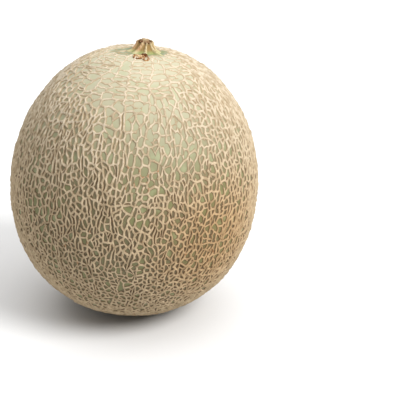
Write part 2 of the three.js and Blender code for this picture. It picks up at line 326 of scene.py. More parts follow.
# The cords around each cell reach into it by half their width, or less where the other side is
# near. There the cork has filled the cell in. An inset makes their slopes, the feet of the slopes
# are then placed, and the crests are lifted.
CORD_HALF_WIDTH = 0.98 * MM
THIN_CORD = 0.8  # the widths of cords in the open net and the rings, as a share
CORD_HEIGHT = 1.1 * MM
LOW_CORD = 0.8  # the heights of cords in the open net
LOWEST_CORD = 0.42  # and in the rings
HEAVINESS = 0.3  # and how much they vary from patch to patch
HEAVY_PATCH = 14 * MM
KNOBBLINESS = 0.6  # how much a crest's height varies along it
KNOB_SIZE = 2.2 * MM
FIRST_INSET = 0.001  # only until the feet get their places
NARROWS = 0.37  # how much of a gap each of its two cords may take
SHARPEST_OPENING = 0.5  # keeps the foot in a sharp corner of a cell from being drawn in too far
FAINTEST_WIDTH = 0.3  # of a cord where it is broken, as a share
WIDTH_UNEVENNESS = 0.25  # how much a cord's width varies
WIDTH_PATCH = 4.5 * MM  # and over what length
UNCROSSINGS = 5  # rounds in which feet that have crossed are drawn apart
DRAWN_BACK = 0.75  # how far in a cell's feet stay in each round if any still cross, as a share
FOOT_SHARE = 0.12  # how long a side's foot is at least, as a share of its crest
FILLING = 0.2  # how far cork fills a narrow gap, as a share of what is missing of its slope
GAP = (0.6 * MM, 1.4 * MM)  # mean widths of a gap with a brown floor and of one with a green one
BARE_SEAT = (9.5 * MM, 15.0 * MM)  # how far from the stem's middle the bare skin fades to the net
BARE_PATCH = Vector((-0.145, -0.04, 0.988)).normalized()  # the middle of a patch beside it
BARE_PATCH_SPAN = (0.9905, 0.997)  # cosines of the angles at which that starts and is complete
BARE_IN_PATCH = 0.4  # the cords in it are faint
BARE_SPOT = (7 * MM, 17 * MM)  # how far from the middle of the resting spot its bare skin fades
BARE_EDGE = (3.0 * MM, 5.0 * MM)  # how ragged the edges of all these are, and over what length
RAGGED_IN_PATCH = 0.25  # how much of that the patch's edge has
CORDLESS = 0.5  # how bare the skin is where no cord stands on it any more


def boldness(direction):
    """How thick and how high the cords grew at a place, as shares of the flank's."""
    in_rings, at_blossom, in_open_net = zones(direction)
    thin = max(in_rings, in_open_net, at_blossom)
    low = 1 + (LOW_CORD - 1) * in_open_net
    low += (LOWEST_CORD - low) * in_rings
    heaviness = 1 + HEAVINESS * noise.noise(direction * BODY_RADIUS / HEAVY_PATCH)
    return heaviness * (1 + (THIN_CORD - 1) * thin), heaviness * low


def bareness(direction):
    """How bare the skin stayed: 1 by the stem and on the resting spot, and less in the patch."""
    ragged = noise.noise(direction * BODY_RADIUS / BARE_EDGE[1]) * BARE_EDGE[0]
    if direction.z < 0:
        from_spot = (body_point(direction) - body_point(lowest)).length + ragged
        return 1 - fade(from_spot, *BARE_SPOT)
    from_stem = math.hypot(direction.x, direction.y) * BODY_RADIUS + ragged
    raggedness = ragged / BODY_RADIUS * RAGGED_IN_PATCH
    in_patch = fade(direction.dot(BARE_PATCH) - raggedness, *BARE_PATCH_SPAN)
    return max(1 - fade(from_stem, *BARE_SEAT), in_patch * BARE_IN_PATCH)


def clear_share(corners, i, way):
    """How much of a way into a cell is free before it meets another of the cell's sides."""
    start, end, free = corners[i], corners[i] + way, 1.0
    for j in range(len(corners)):
        following = (j + 1) % len(corners)
        if i in (j, following):
            continue
        hit = geometry.intersect_line_line_2d(start, end, corners[j], corners[following])
        if hit:
            free = min(free, (hit - start).length / way.length)
    return free


def uncross(corners, feet):
    """Draws two neighbouring feet of a cell apart where their ways in have crossed."""
    for _ in range(UNCROSSINGS):
        for i in range(len(feet)):
            side = corners[i] - corners[i - 1]
            if (feet[i] - feet[i - 1]).dot(side) < FOOT_SHARE * side.length_squared:
                middle = (feet[i] + feet[i - 1]) / 2
                feet[i - 1] = middle - side * FOOT_SHARE / 2
                feet[i] = middle + side * FOOT_SHARE / 2


def is_crossed(outline):
    """Whether any two sides of an outline cross, other than neighbours."""
    sides = list(zip(outline, outline[1:] + outline[:1]))
    for i, side in enumerate(sides):
        for other in sides[i + 2:len(sides) - (i == 0)]:
            if geometry.intersect_line_line_2d(*side, *other):
                return True
    return False


for vert in net.verts:
    vert[is_open], vert[is_bare] = 1.0, bareness(vert.co)
# All cells get cords around them but those whose skin stayed quite bare.
cells = [face for face in net.faces if bareness(middle_of(face.verts)) < 1]
bmesh.ops.inset_individual(net, faces=cells, thickness=FIRST_INSET, use_even_offset=False)
for cell in cells:
    feet = cell.verts[:]
    crests = []
    for foot in feet:
        slope = next(edge for edge in foot.link_edges if cell not in edge.link_faces)
        crests.append(slope.other_vert(foot))
    middle = middle_of(crests)
    north, east = compass(middle)
    corners = [Vector((crest.co.dot(east), crest.co.dot(north))) for crest in crests]
    inwards = []
    for corner, following in zip(corners, corners[1:] + corners[:1]):
        inwards.append((following - corner).orthogonal().normalized())
    reach = CORD_HALF_WIDTH * boldness(middle)[0] / BODY_RADIUS
    drawn_in, shares = [], []
    for i, (corner, crest) in enumerate(zip(corners, crests)):
        opening = max(1 + inwards[i - 1].dot(inwards[i]), SHARPEST_OPENING)
        way = (inwards[i - 1] + inwards[i]) * reach / opening
        shares.append(clear_share(corners, i, way / NARROWS) if way.length else 1.0)
        width = FAINTEST_WIDTH + (1 - FAINTEST_WIDTH) * crest[strength]
        width *= 1 + WIDTH_UNEVENNESS * noise.noise(crest.co * BODY_RADIUS / WIDTH_PATCH)
        drawn_in.append(corner + way * shares[i] * width)
    uncross(corners, drawn_in)
    for _ in range(UNCROSSINGS):
        if is_crossed(drawn_in):
            drawn_in = [corner.lerp(place, DRAWN_BACK)
                        for corner, place in zip(corners, drawn_in)]
    for foot, crest, corner, place, share in zip(feet, crests, corners, drawn_in, shares):
        shift = place - corner
        foot.co = (crest.co + east * shift.x + north * shift.y).normalized()
        crest[cork] = crest[strength] * (1 - min(crest[is_bare] / CORDLESS, 1.0))
        knob = 1 + KNOBBLINESS * noise.noise(crest.co * BODY_RADIUS / KNOB_SIZE)
        crest[lift] = crest[cork] * CORD_HEIGHT * boldness(crest.co)[1] * knob
        foot[lift] = crest[lift] * (1 - share) * FILLING
        foot[cork] = crest[cork] * (1 - share) * FILLING
    opening = 2 * cell.calc_area() / cell.calc_perimeter() * BODY_RADIUS
    for foot in feet:
        foot[is_open] = max(fade(opening, *GAP), zones(middle)[0], bareness(middle))
    for edge in cell.edges:
        edge.smooth = False
for vert in net.verts:
    vert.co = standing @ body_point(vert.co, vert[lift])
    vert.co.z = max(vert.co.z, 0.0)

# The flower left a scar at the blossom end: a sunken, uneven ring of cork around a low nub. Each
# step of it goes inwards and outwards so far, and is that corky.
SCAR_STEPS = ((0.5 * MM, -0.4 * MM, 0.2), (0.7 * MM, -0.3 * MM, 0.1), (0.5 * MM, -0.1 * MM, 0.4),
              (0.7 * MM, 0.4 * MM, 0.8), (0.8 * MM, 0.3 * MM, 1.0))
SCAR_UNEVENNESS = 0.2 * MM  # of a step
SCAR_KNOBS = 2.5 * MM
SCAR_EVENING = 0.5  # and how far each step's corners are drawn even again, as a share
for inwards, outwards, corkiness in SCAR_STEPS:
    bmesh.ops.inset_region(net, faces=[caps[1]], thickness=inwards, depth=outwards)
    for vert in caps[1].verts:
        vert[cork] = corkiness
        vert.co += noise.noise_vector(vert.co / SCAR_KNOBS) * SCAR_UNEVENNESS
    bmesh.ops.smooth_vert(net, verts=caps[1].verts, factor=SCAR_EVENING, use_axis_x=True,
                          use_axis_y=True, use_axis_z=False)
for face in net.faces:
    face.smooth = True
fruit_mesh = bpy.data.meshes.new("netted_fruit")
net.to_mesh(fruit_mesh)
net.free()
fruit = bpy.data.objects.new("netted_fruit", fruit_mesh)
bpy.context.scene.collection.objects.link(fruit)
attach(fruit, "root")
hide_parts("melon_fruit")

# Its material is corky rind. The skin is a thin waxed cuticle over green flesh, even and a little
# shiny, and the net is dry cork: cream, matt, finely fissured, brown at its feet as painted shade,
# with rusty specks where it cracked anew. Narrow gaps are lined with brown cork dust and painted
# shade. All colours are painted darker low on the fruit and lighter high on it, as painted shade
# and painted light.

# Each colour is first as painted shade low on the fruit, and then as painted light high on it.
SKIN = ("#74734a", "#b5af96")
SKIN_MOTTLE = ("#8c9069", "#a9a88a")
BALD_SKIN_WITH_SEAT_SHADE = ("#a89c6c", "#73804f")  # on the resting spot, and around the stem, where its own green is deepened by painted shade of the stem's seat
# Dust in narrow gaps, darkened further as painted shade
GAP_DUST_AND_SHADE = ("#685d42", "#9c9373")
CORK = ("#bea989", "#c9bca6")
# The cork's brown foot is painted shade on the lower slope of each cord
CORK_FOOT_SHADE = ("#523a22", "#a48d6a")
CORK_SHADING_HEIGHTS = (75 * MM, 170 * MM)  # heights at which the cork starts to take painted light, and has it fully
SKIN_SHADING_HEIGHTS = (95 * MM, 175 * MM)  # and the same for the skin
PATCH_SKIN = ("#6f785a", "#8b9376")  # in the bare patch, and its mottling
CORK_TAN = "#95805f"
RUST = "#96602f"
# Each pattern: how large its blotches are, from which noise to which it rises, and how much of it
# then shows
MOTTLE_SIZE, MOTTLE_RISE, MOST_MOTTLE = 9 * MM, (0.5, 0.7), 0.9
TAN_SIZE, TAN_RISE, MOST_TAN = 3.5 * MM, (0.4, 0.62), 0.6
RUST_SIZE, RUST_RISE, MOST_RUST = 2.2 * MM, (0.67, 0.75), 0.7
# More rust shows around the first of these places, and a painted shade, warm as of reflected
# orange light, lies around the second.
SPECKLED_PLACE = standing @ body_point(Vector((0.03, -0.965, 0.26)).normalized())
SPECKLED_REACH = (17 * MM, 3 * MM)  # how far from there more rust starts, and is all there
SPECKLING = 0.13  # what it adds to the noise
WARM_SHADE_PLACE = standing @ body_point(Vector((0.66, -0.72, -0.2)).normalized())
WARM_SHADE_REACH = (58 * MM, 8 * MM)  # and the same for that painted shade's warm tint
WARM_SHADE_TINT = "#f3e3cd"
# How bare the skin is where the colours of the patch and of bald skin start, and are complete
PATCH_EDGE = (0.08, 0.4)
BALD_EDGE = (0.6, 1.0)
# How far up a cord's slope the cork starts and is complete, and how far its brown foot of painted
# shade goes
CORK_EDGE = (0.01, 0.08)
FOOT_SHADE_EDGE = (0.08, 0.6)
FISSURE_WIDTH = 0.5 * MM
FISSURES_IN_SKIN = 0.15
FISSURES_IN_CORK = 0.9
SKIN_ROUGHNESS = 0.6
CORK_ROUGHNESS = 0.85


def linear(code):
    """A hex colour, which is sRGB, as linear light."""
    parts = [int(code[i:i + 2], 16) / 255 for i in (1, 3, 5)]
    return [part / 12.92 if part <= 0.04045 else ((part + 0.055) / 1.055) ** 2.4
            for part in parts] + [1]


def add(tree, kind, inputs, output=None, **settings):
    """Adds a node with its settings and inputs. Returns the output asked for, or its first.

    An input goes by its name or number, and is another node's output, a value or a hex colour.
    """
    node = tree.nodes.new(kind)
    for name, value in settings.items():
        setattr(node, name, value)
    for name, value in inputs.items():
        sockets = [socket for socket in node.inputs if socket.enabled]
        socket = next(socket for i, socket in enumerate(sockets) if name in (i, socket.name))
        if isinstance(value, bpy.types.NodeSocket):
            tree.links.new(value, socket)
        else:
            socket.default_value = linear(value) if isinstance(value, str) else value
    outputs = [socket for socket in node.outputs
               if socket.enabled and output in (None, socket.name)]
    return outputs[0] if outputs else None


rind = bpy.data.materials.new("waxed_skin_and_dry_cork")
rind.use_nodes = True
tree = rind.node_tree
tree.nodes.clear()
place = add(tree, "ShaderNodeTexCoord", {}, "Object")
height = add(tree, "ShaderNodeSeparateXYZ", {"Vector": place}, "Z")
corkiness = add(tree, "ShaderNodeAttribute", {}, "Fac", attribute_name="cork")
openness = add(tree, "ShaderNodeAttribute", {}, "Fac", attribute_name="open")
bare = add(tree, "ShaderNodeAttribute", {}, "Fac", attribute_name="bare")
mottle = add(tree, "ShaderNodeTexNoise", {"Vector": place, "Scale": 1 / MOTTLE_SIZE, "Detail": 2})
tanning = add(tree, "ShaderNodeTexNoise", {"Vector": place, "Scale": 1 / TAN_SIZE, "Detail": 4})
rusting = add(tree, "ShaderNodeTexNoise", {"Vector": place, "Scale": 1 / RUST_SIZE, "Detail": 3})
fissures = add(tree, "ShaderNodeTexNoise", {"Vector": place, "Scale": 1 / FISSURE_WIDTH,
                                            "Detail": 4, "Roughness": 0.7})
off_specks = add(tree, "ShaderNodeVectorMath", {0: place, 1: SPECKLED_PLACE}, "Value",
                 operation="DISTANCE")
off_warm_shade = add(tree, "ShaderNodeVectorMath", {0: place, 1: WARM_SHADE_PLACE}, "Value",
                  operation="DISTANCE")

# Where each colour is
# Painted light and shade by height: darker low on the fruit, lighter high on it
cork_painted_light_by_height = add(tree, "ShaderNodeMapRange", {"Value": height, "From Min": CORK_SHADING_HEIGHTS[0],
                                         "From Max": CORK_SHADING_HEIGHTS[1]}, interpolation_type="SMOOTHSTEP")
skin_painted_light_by_height = add(tree, "ShaderNodeMapRange", {"Value": height, "From Min": SKIN_SHADING_HEIGHTS[0],
                                              "From Max": SKIN_SHADING_HEIGHTS[1]},
                 interpolation_type="SMOOTHSTEP")
mottled = add(tree, "ShaderNodeMapRange", {"Value": mottle, "From Min": MOTTLE_RISE[0],
                                           "From Max": MOTTLE_RISE[1], "To Max": MOST_MOTTLE},
              interpolation_type="SMOOTHSTEP")
tanned = add(tree, "ShaderNodeMapRange", {"Value": tanning, "From Min": TAN_RISE[0],
                                          "From Max": TAN_RISE[1], "To Max": MOST_TAN},
             interpolation_type="SMOOTHSTEP")
speckled = add(tree, "ShaderNodeMapRange", {"Value": off_specks, "From Min": SPECKLED_REACH[0],
                                            "From Max": SPECKLED_REACH[1], "To Max": SPECKLING})
rusting = add(tree, "ShaderNodeMath", {0: rusting, 1: speckled}, operation="ADD")
rusty = add(tree, "ShaderNodeMapRange", {"Value": rusting, "From Min": RUST_RISE[0],
                                         "From Max": RUST_RISE[1], "To Max": MOST_RUST},
            interpolation_type="SMOOTHSTEP")
in_patch = add(tree, "ShaderNodeMapRange", {"Value": bare, "From Min": PATCH_EDGE[0],
                                            "From Max": PATCH_EDGE[1], "To Max": skin_painted_light_by_height},
               interpolation_type="SMOOTHSTEP")
is_bald = add(tree, "ShaderNodeMapRange", {"Value": bare, "From Min": BALD_EDGE[0],
                                           "From Max": BALD_EDGE[1]},
              interpolation_type="SMOOTHSTEP")
# Painted shade: the lower slopes of the cords take the brown foot colour
off_foot = add(tree, "ShaderNodeMapRange", {"Value": corkiness, "From Min": FOOT_SHADE_EDGE[0],
                                            "From Max": FOOT_SHADE_EDGE[1]},
               interpolation_type="SMOOTHSTEP")
is_cork = add(tree, "ShaderNodeMapRange", {"Value": corkiness, "From Min": CORK_EDGE[0],
                                           "From Max": CORK_EDGE[1]},
              interpolation_type="SMOOTHSTEP")
# Painted warm shade on the lower right, as of reflected orange light
painted_warm_shade = add(tree, "ShaderNodeMapRange", {"Value": off_warm_shade, "From Min": WARM_SHADE_REACH[0],
                                             "From Max": WARM_SHADE_REACH[1]},
                interpolation_type="SMOOTHSTEP")

# Each colour between its painted shade low down and its painted light high up
skin, greener, bald_with_seat_shade, dust_and_shade, cords, foot = (
    add(tree, "ShaderNodeMix", {"Factor": painted_light_by_height, "A": shaded, "B": sunlit}, data_type="RGBA")
    for painted_light_by_height, (shaded, sunlit) in ((skin_painted_light_by_height, SKIN), (skin_painted_light_by_height, SKIN_MOTTLE),
                                       (skin_painted_light_by_height, BALD_SKIN_WITH_SEAT_SHADE), (cork_painted_light_by_height, GAP_DUST_AND_SHADE),
                                       (cork_painted_light_by_height, CORK), (cork_painted_light_by_height, CORK_FOOT_SHADE)))
patchy = add(tree, "ShaderNodeMix", {"Factor": tanned, "A": PATCH_SKIN[0], "B": PATCH_SKIN[1]},
             data_type="RGBA")

# The skin, then the dust and painted shade in narrow gaps, then the cork, and the painted warm
# shade over all of it
for cover, colour in ((mottled, greener), (in_patch, patchy), (is_bald, bald_with_seat_shade)):
    skin = add(tree, "ShaderNodeMix", {"Factor": cover, "A": skin, "B": colour}, data_type="RGBA")
for cover, colour in ((tanned, CORK_TAN), (rusty, RUST)):
    cords = add(tree, "ShaderNodeMix", {"Factor": cover, "A": cords, "B": colour}, data_type="RGBA")
cords = add(tree, "ShaderNodeMix", {"Factor": off_foot, "A": foot, "B": cords}, data_type="RGBA")
ground = add(tree, "ShaderNodeMix", {"Factor": openness, "A": dust_and_shade, "B": skin}, data_type="RGBA")
colour = add(tree, "ShaderNodeMix", {"Factor": is_cork, "A": ground, "B": cords}, data_type="RGBA")
colour = add(tree, "ShaderNodeMix", {"Factor": painted_warm_shade, "A": colour, "B": WARM_SHADE_TINT},
             data_type="RGBA", blend_type="MULTIPLY")
roughness = add(tree, "ShaderNodeMapRange", {"Value": is_cork, "To Min": SKIN_ROUGHNESS,
                                             "To Max": CORK_ROUGHNESS})
coarseness = add(tree, "ShaderNodeMapRange", {"Value": is_cork, "To Min": FISSURES_IN_SKIN,
                                              "To Max": FISSURES_IN_CORK})
relief = add(tree, "ShaderNodeBump", {"Height": fissures, "Distance": FISSURE_WIDTH / 2,
                                      "Strength": coarseness})
surface = add(tree, "ShaderNodeBsdfPrincipled", {"Base Color": colour, "Roughness": roughness,
                                                 "Normal": relief})
add(tree, "ShaderNodeOutputMaterial", {"Surface": surface})
fruit_mesh.materials.append(rind)

# ------------------------------------------------------------------------------------------------
# The stem stub: what the picker's knife left of the vine's stalk, a ribbed woody post that flares
# into the fruit. It has dried from the cut down: its rim stands around sunken pith and a hard core,
# and the ribs run out over the fruit like roots.
# ------------------------------------------------------------------------------------------------

# Radius and height, in millimetres, from below the skin up the side and over the cut to its middle
STEM_PROFILE = ((10.4, -1.4), (10.0, -0.6), (9.4, -0.2), (8.6, 0.3), (7.8, 0.9), (7.1, 1.6),
                (6.5, 2.4), (6.05, 3.3), (5.75, 4.2), (5.5, 5.0), (5.3, 5.6), (5.05, 6.1),
                (4.7, 6.3), (4.35, 6.2), (4.0, 5.7), (3.6, 5.2), (3.2, 5.1), (2.8, 5.5),
                (2.4, 6.4), (2.0, 7.2), (1.2, 7.6), (0, 7.4))
STEM_STEPS = 144  # around
SAME_POINT = 0.01 * MM  # corners of it that are nearer than this are one
STEM_HEIGHT = 6.3 * MM
STEM_BEND = math.radians(7)  # to the back
SEAT_GAP = 0.3 * MM  # how high over the skin the level from which its heights are taken is
FORWARD = 0.8 * MM  # how far before the middle of the top it stands
# Each rib's bearing at the foot and at the cut, and how far it spreads to each side, in degrees,
# and how far it runs out over the fruit, in millimetres
RIBS = ((8, 8, 13, 0.8), (66, 62, 13, 2.0), (126, 120, 12, 1.5), (188, 184, 15, 0.8),
        (230, 253, 12, 0.8), (275, 285, 7, 0.5), (327, 317, 6, 4.0))
RUNOUT_POWER = 4  # how soon a rib's runout ends up the stem
FURROW_DEPTH = (0.13, 0.3)  # at the foot and at the cut, as shares of the radius
NOTCH_DEPTH = 0.7 * MM  # of the furrows in the front of the rim
NOTCH_FRONT = 3 * MM  # how far before the middle the notches have their full depth
CUT_SLANT = 0.16  # how much the cut falls to the front
SLANT_HEIGHTS = (3 * MM, 6 * MM)  # over which the stem takes the cut's slant and notches
HOLLOW = (1.7 * MM, 2.5 * MM, 4.4 * MM, 5.1 * MM)  # radii over which the hollow starts and ends
CUT_HEIGHT = (4.0 * MM, 4.6 * MM)  # over which the side ends and the cut starts
WRINKLE_DEPTH = 0.28 * MM
WRINKLE_WIDTH = 1.0 * MM
WRINKLE_STRETCH = 5  # along the stem
UNWRINKLED = 0.1 * MM  # how near its axis nothing moves out or in
RAGGED_RIM = 0.4 * MM

stub = bmesh.new()
rib_layer, height_layer, hollow_layer = (stub.verts.layers.float.new(name)
                                         for name in ("rib", "height", "hollow"))
outline = [stub.verts.new((radius * MM, 0, height * MM)) for radius, height in STEM_PROFILE]
sides = [stub.edges.new(pair) for pair in zip(outline, outline[1:])]
bmesh.ops.spin(stub, geom=outline + sides, cent=(0, 0, 0), axis=(0, 0, 1), angle=math.tau,
               steps=STEM_STEPS, use_merge=True)
bmesh.ops.remove_doubles(stub, verts=stub.verts, dist=SAME_POINT)
seat = body_point(Vector((math.sin(STEM_RIM), 0, math.cos(STEM_RIM)))).z + SEAT_GAP
for vert in stub.verts:
    out = math.hypot(vert.co.x, vert.co.y)
    around = math.degrees(math.atan2(vert.co.y, vert.co.x))
    height = min(max(vert.co.z / STEM_HEIGHT, 0.0), 1.0)
    rib, runout = 0.0, 0.0
    for at_foot, at_cut, spread, length in RIBS:
        off = (around - at_foot - (at_cut - at_foot) * height + 180) % 360 - 180
        crest = math.exp(-((off / spread) ** 2))
        rib = max(rib, crest)
        runout = max(runout, crest * length * MM)
    on_side = fade(out, *HOLLOW[2:])
    is_hollow = fade(out, *HOLLOW[:2]) * (1 - on_side) * (1 - rib) * fade(vert.co.z, *CUT_HEIGHT)
    furrow = FURROW_DEPTH[0] + (FURROW_DEPTH[1] - FURROW_DEPTH[0]) * height
    shrink = 1 - furrow * (1 - rib) * on_side
    grain = Vector((vert.co.x, vert.co.y, vert.co.z / WRINKLE_STRETCH)) / WRINKLE_WIDTH
    if out > UNWRINKLED:
        wrinkle = noise.noise(grain) * WRINKLE_DEPTH
        shrink += ((1 - height) ** RUNOUT_POWER * runout + wrinkle) / out
    ragged = noise.noise(vert.co / WRINKLE_WIDTH) * RAGGED_RIM * fade(vert.co.z, *CUT_HEIGHT)
    notch = NOTCH_DEPTH * (1 - rib) * fade(-vert.co.y, 0.0, NOTCH_FRONT) * on_side
    fall = (notch - CUT_SLANT * vert.co.y) * fade(vert.co.z, *SLANT_HEIGHTS)
    vert.co = Vector((vert.co.x * shrink, vert.co.y * shrink, vert.co.z + ragged - fall))
    bent = height * math.tan(STEM_BEND)
    vert.co = Vector((vert.co.x, vert.co.y + vert.co.z * bent, vert.co.z - vert.co.y * bent))
    vert[rib_layer], vert[height_layer], vert[hollow_layer] = rib, height, is_hollow
    vert.co = standing @ (vert.co + Vector((0, -FORWARD, seat)))
bmesh.ops.holes_fill(stub, edges=[edge for edge in stub.edges if edge.is_boundary], sides=0)
bmesh.ops.recalc_face_normals(stub, faces=stub.faces)
for face in stub.faces:
    face.smooth = len(face.verts) < STEM_STEPS
stem_mesh = bpy.data.meshes.new("dried_stem")
stub.to_mesh(stem_mesh)
stub.free()
stem = bpy.data.objects.new("dried_stem", stem_mesh)
bpy.context.scene.collection.objects.link(stem)
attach(stem, "root")
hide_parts("stem_stub")

# Its material is a dried stalk: cream woody ribs, tanned on one side, straw furrows that are green
# at the foot, and brown pith in the cut around a pale core. It is porous, so it hardly shines, and
# it has fine fibres along it.
RIB_CREAM = "#cdbd96"
RIB_TANNED = "#c39c76"
TANNED_SIDE = (8 * MM, 4 * MM)  # across, from where the tan starts to where it is full
FURROW_STRAW = "#8d7447"
FOOT_GREEN = "#b7b086"
FOOT_DEEP_GREEN = "#8b8f5c"
FOOT_HEIGHT = 0.32  # of the green, as a share of the stem's height
RIB_EDGE = (0.1, 0.7)  # how far up a rib's side its own colour starts, and is complete
PITH_BROWN = "#63381b"
CORE_PALE = "#a48f6e"
CORE_START = 0.9  # as a share of the stem's height
STREAK_BROWN = "#83653c"
STREAK_RISE = (0.4, 0.62)  # of the fibres' noise
MOST_STREAK = 0.7
FIBRE_WIDTH = 0.9 * MM
FIBRE_STRETCH = 0.18
FIBRE_RELIEF = 0.7
STEM_ROUGHNESS = 0.78
STEM_SHEEN = 0.2

stalk = bpy.data.materials.new("dried_woody_stalk")
stalk.use_nodes = True
tree = stalk.node_tree
tree.nodes.clear()
place = add(tree, "ShaderNodeTexCoord", {}, "Object")
across = add(tree, "ShaderNodeSeparateXYZ", {"Vector": place}, "X")
rib = add(tree, "ShaderNodeAttribute", {}, "Fac", attribute_name="rib")
height = add(tree, "ShaderNodeAttribute", {}, "Fac", attribute_name="height")
hollow = add(tree, "ShaderNodeAttribute", {}, "Fac", attribute_name="hollow")
along = add(tree, "ShaderNodeMapping", {"Vector": place, "Scale": (1, 1, FIBRE_STRETCH)})
fibres = add(tree, "ShaderNodeTexNoise", {"Vector": along, "Scale": 1 / FIBRE_WIDTH, "Detail": 3,
                                          "Roughness": 0.6})
tanned = add(tree, "ShaderNodeMapRange", {"Value": across, "From Min": TANNED_SIDE[0],
                                          "From Max": TANNED_SIDE[1]})
fibrous = add(tree, "ShaderNodeMapRange", {"Value": fibres, "From Min": STREAK_RISE[0],
                                           "From Max": STREAK_RISE[1], "To Max": MOST_STREAK})
on_rib = add(tree, "ShaderNodeMapRange", {"Value": rib, "From Min": RIB_EDGE[0],
                                          "From Max": RIB_EDGE[1]})
off_foot = add(tree, "ShaderNodeMapRange", {"Value": height, "From Max": FOOT_HEIGHT},
               interpolation_type="SMOOTHSTEP")
in_core = add(tree, "ShaderNodeMapRange", {"Value": height, "From Min": CORE_START})
wood = add(tree, "ShaderNodeMix", {"Factor": tanned, "A": RIB_CREAM, "B": RIB_TANNED},
           data_type="RGBA")
wood = add(tree, "ShaderNodeMix", {"Factor": on_rib, "A": FURROW_STRAW, "B": wood},
           data_type="RGBA")
wood = add(tree, "ShaderNodeMix", {"Factor": fibrous, "A": wood, "B": STREAK_BROWN},
           data_type="RGBA")
green = add(tree, "ShaderNodeMix", {"Factor": on_rib, "A": FOOT_DEEP_GREEN, "B": FOOT_GREEN},
            data_type="RGBA")
wood = add(tree, "ShaderNodeMix", {"Factor": off_foot, "A": green, "B": wood}, data_type="RGBA")
for cover, colour in ((in_core, CORE_PALE), (hollow, PITH_BROWN)):
    wood = add(tree, "ShaderNodeMix", {"Factor": cover, "A": wood, "B": colour}, data_type="RGBA")
relief = add(tree, "ShaderNodeBump", {"Height": fibres, "Distance": FIBRE_WIDTH / 3,
                                      "Strength": FIBRE_RELIEF})
surface = add(tree, "ShaderNodeBsdfPrincipled", {"Base Color": wood, "Roughness": STEM_ROUGHNESS,
                                                 "Specular IOR Level": STEM_SHEEN,
                                                 "Normal": relief})
add(tree, "ShaderNodeOutputMaterial", {"Surface": surface})
stem_mesh.materials.append(stalk)

# ------------------------------------------------------------------------------------------------
# The slip crack: where a ripe melon starts to part from its stalk, the skin before the stem's foot
# has torn. Rough rusty cork healed around the tear and in a loop beside it, dark behind, with a
# pale crumb inside.
# ------------------------------------------------------------------------------------------------

# Each ring of torn cork: where its middle is, to the right of the stem and behind it, its
# half-widths the same ways, and how thick it is
TORN_RINGS = (
    (Vector((-2.9, -15.9)) * MM, Vector((2.9, 2.6)) * MM, 0.7 * MM),
    (Vector((1.7, -17.4)) * MM, Vector((1.6, 2.9)) * MM, 0.6 * MM),
)
RING_STEPS = 40
RING_SIDES = 8
RING_PALENESS = 0.5
# Each lump in them: where its middle is, its half-sizes, and how pale it is
LUMPS = (
    (Vector((-3.0, -15.6)) * MM, Vector((2.4, 1.8, 1.1)) * MM, 1.0),
    (Vector((0.4, -13.4)) * MM, Vector((2.1, 1.6, 1.6)) * MM, 0.0),
)
LUMP_ROUNDNESS = 4  # times that the faces of a lump are divided
RAGGEDNESS = ((0.8 * MM, 3.1 * MM), (0.6 * MM, 1.2 * MM))  # how far, and how long each wave is

tear = bmesh.new()
pale_layer = tear.verts.layers.float.new("pale")
upright = Matrix.Rotation(math.pi / 2, 4, "X")
for middle, spread, thickness in TORN_RINGS:
    stand = Matrix.Translation((spread.x, 0, 0)) @ upright
    profile = bmesh.ops.create_circle(tear, segments=RING_SIDES, radius=thickness,
                                      matrix=stand)["verts"]
    sides = list(dict.fromkeys(edge for vert in profile for edge in vert.link_edges))
    old = set(tear.verts) - set(profile)
    bmesh.ops.spin(tear, geom=profile + sides, cent=(0, 0, 0), axis=(0, 0, 1), angle=math.tau,
                   steps=RING_STEPS, use_merge=True)
    ring = [vert for vert in tear.verts if vert not in old]
    bmesh.ops.scale(tear, verts=ring, vec=(1, spread.y / spread.x, 1))
    bmesh.ops.translate(tear, verts=ring, vec=middle.to_3d())
    for vert in ring:
        vert[pale_layer] = RING_PALENESS
for middle, size, paleness in LUMPS:
    lump = bmesh.ops.create_icosphere(tear, subdivisions=LUMP_ROUNDNESS, radius=1)["verts"]
    bmesh.ops.scale(tear, verts=lump, vec=size)
    bmesh.ops.translate(tear, verts=lump, vec=middle.to_3d())
    for vert in lump:
        vert[pale_layer] = paleness
bmesh.ops.recalc_face_normals(tear, faces=tear.faces)
for vert in tear.verts:
    place = vert.co.copy()
    for amount, length in RAGGEDNESS:
        vert.co += noise.noise_vector(place / length) * amount
    direction = Vector((vert.co.x, vert.co.y, 0)) / BODY_RADIUS
    direction.z = math.sqrt(1 - direction.length_squared)
    vert.co = standing @ body_point(direction, vert.co.z)
for face in tear.faces:
    face.smooth = True
tear_mesh = bpy.data.meshes.new("slip_crack")
tear.to_mesh(tear_mesh)
tear.free()
slip_crack = bpy.data.objects.new("slip_crack", tear_mesh)
bpy.context.scene.collection.objects.link(slip_crack)
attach(slip_crack, "root")

# Its material is torn dry cork: rusty, dark in its pits, pale on the crumb, and rough all over,
# with no wax on it that would shine.
RUST_BROWN = "#875b32"
RUST_DARK = "#52321d"
CRUMB_CREAM = "#c4a880"
BLOTCH_SIZE = 1.4 * MM
BLOTCHINESS = 2.5  # how much the noise, from its middle, adds to the paleness
NOISE_MIDDLE = 0.5
RUST_TONES = (0.1, 0.4)  # from dark rust to brown
CRUMB_TONES = (0.6, 0.9)  # and from brown to cream
PIT_SIZE = 0.6 * MM
PIT_RELIEF = 0.9
TORN_ROUGHNESS = 0.9
TORN_SHEEN = 0.2

